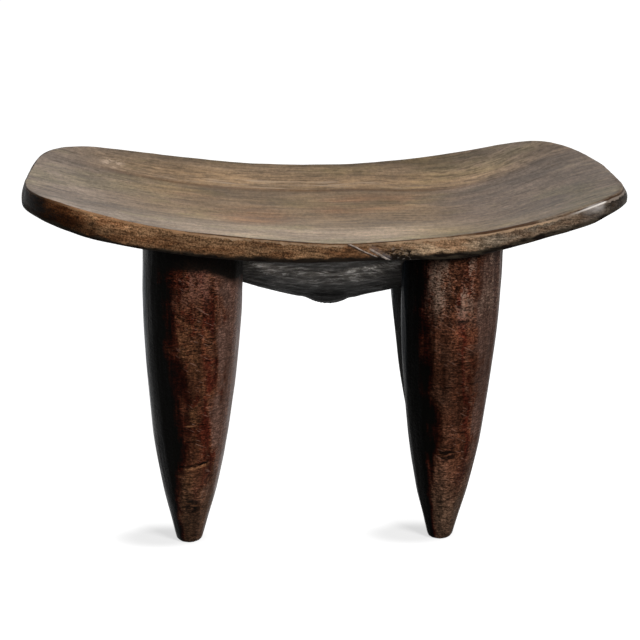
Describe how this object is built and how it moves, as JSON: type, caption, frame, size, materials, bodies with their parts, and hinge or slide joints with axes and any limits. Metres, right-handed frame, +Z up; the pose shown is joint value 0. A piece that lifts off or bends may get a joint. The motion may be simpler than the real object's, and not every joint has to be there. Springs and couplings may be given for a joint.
{
  "type": "carved wooden stool",
  "caption": "Low carved stool: a long saddle-shaped, dished seat on four stout legs that taper to small feet, with a shallow belly and knob underneath.",
  "frame": {"origin": "on the floor, under the middle of the seat's length and depth", "axes": "+X to the right along the seat's length, -Y towards the front, +Z up"},
  "size_m": [0.604, 0.34, 0.379],
  "materials": {
    "seat_wood": "hand-polished, worn satin",
    "belly_wood": "smoke-dark, tool-marked",
    "leg_wood": "adze-cut, oiled satin"
  },
  "bodies": {
    "root": {"seat": "seat_wood", "belly": "belly_wood", "leg_front_left": "leg_wood", "leg_front_right": "leg_wood", "leg_rear_left": "leg_wood", "leg_rear_right": "leg_wood"}
  },
  "joints": []
}
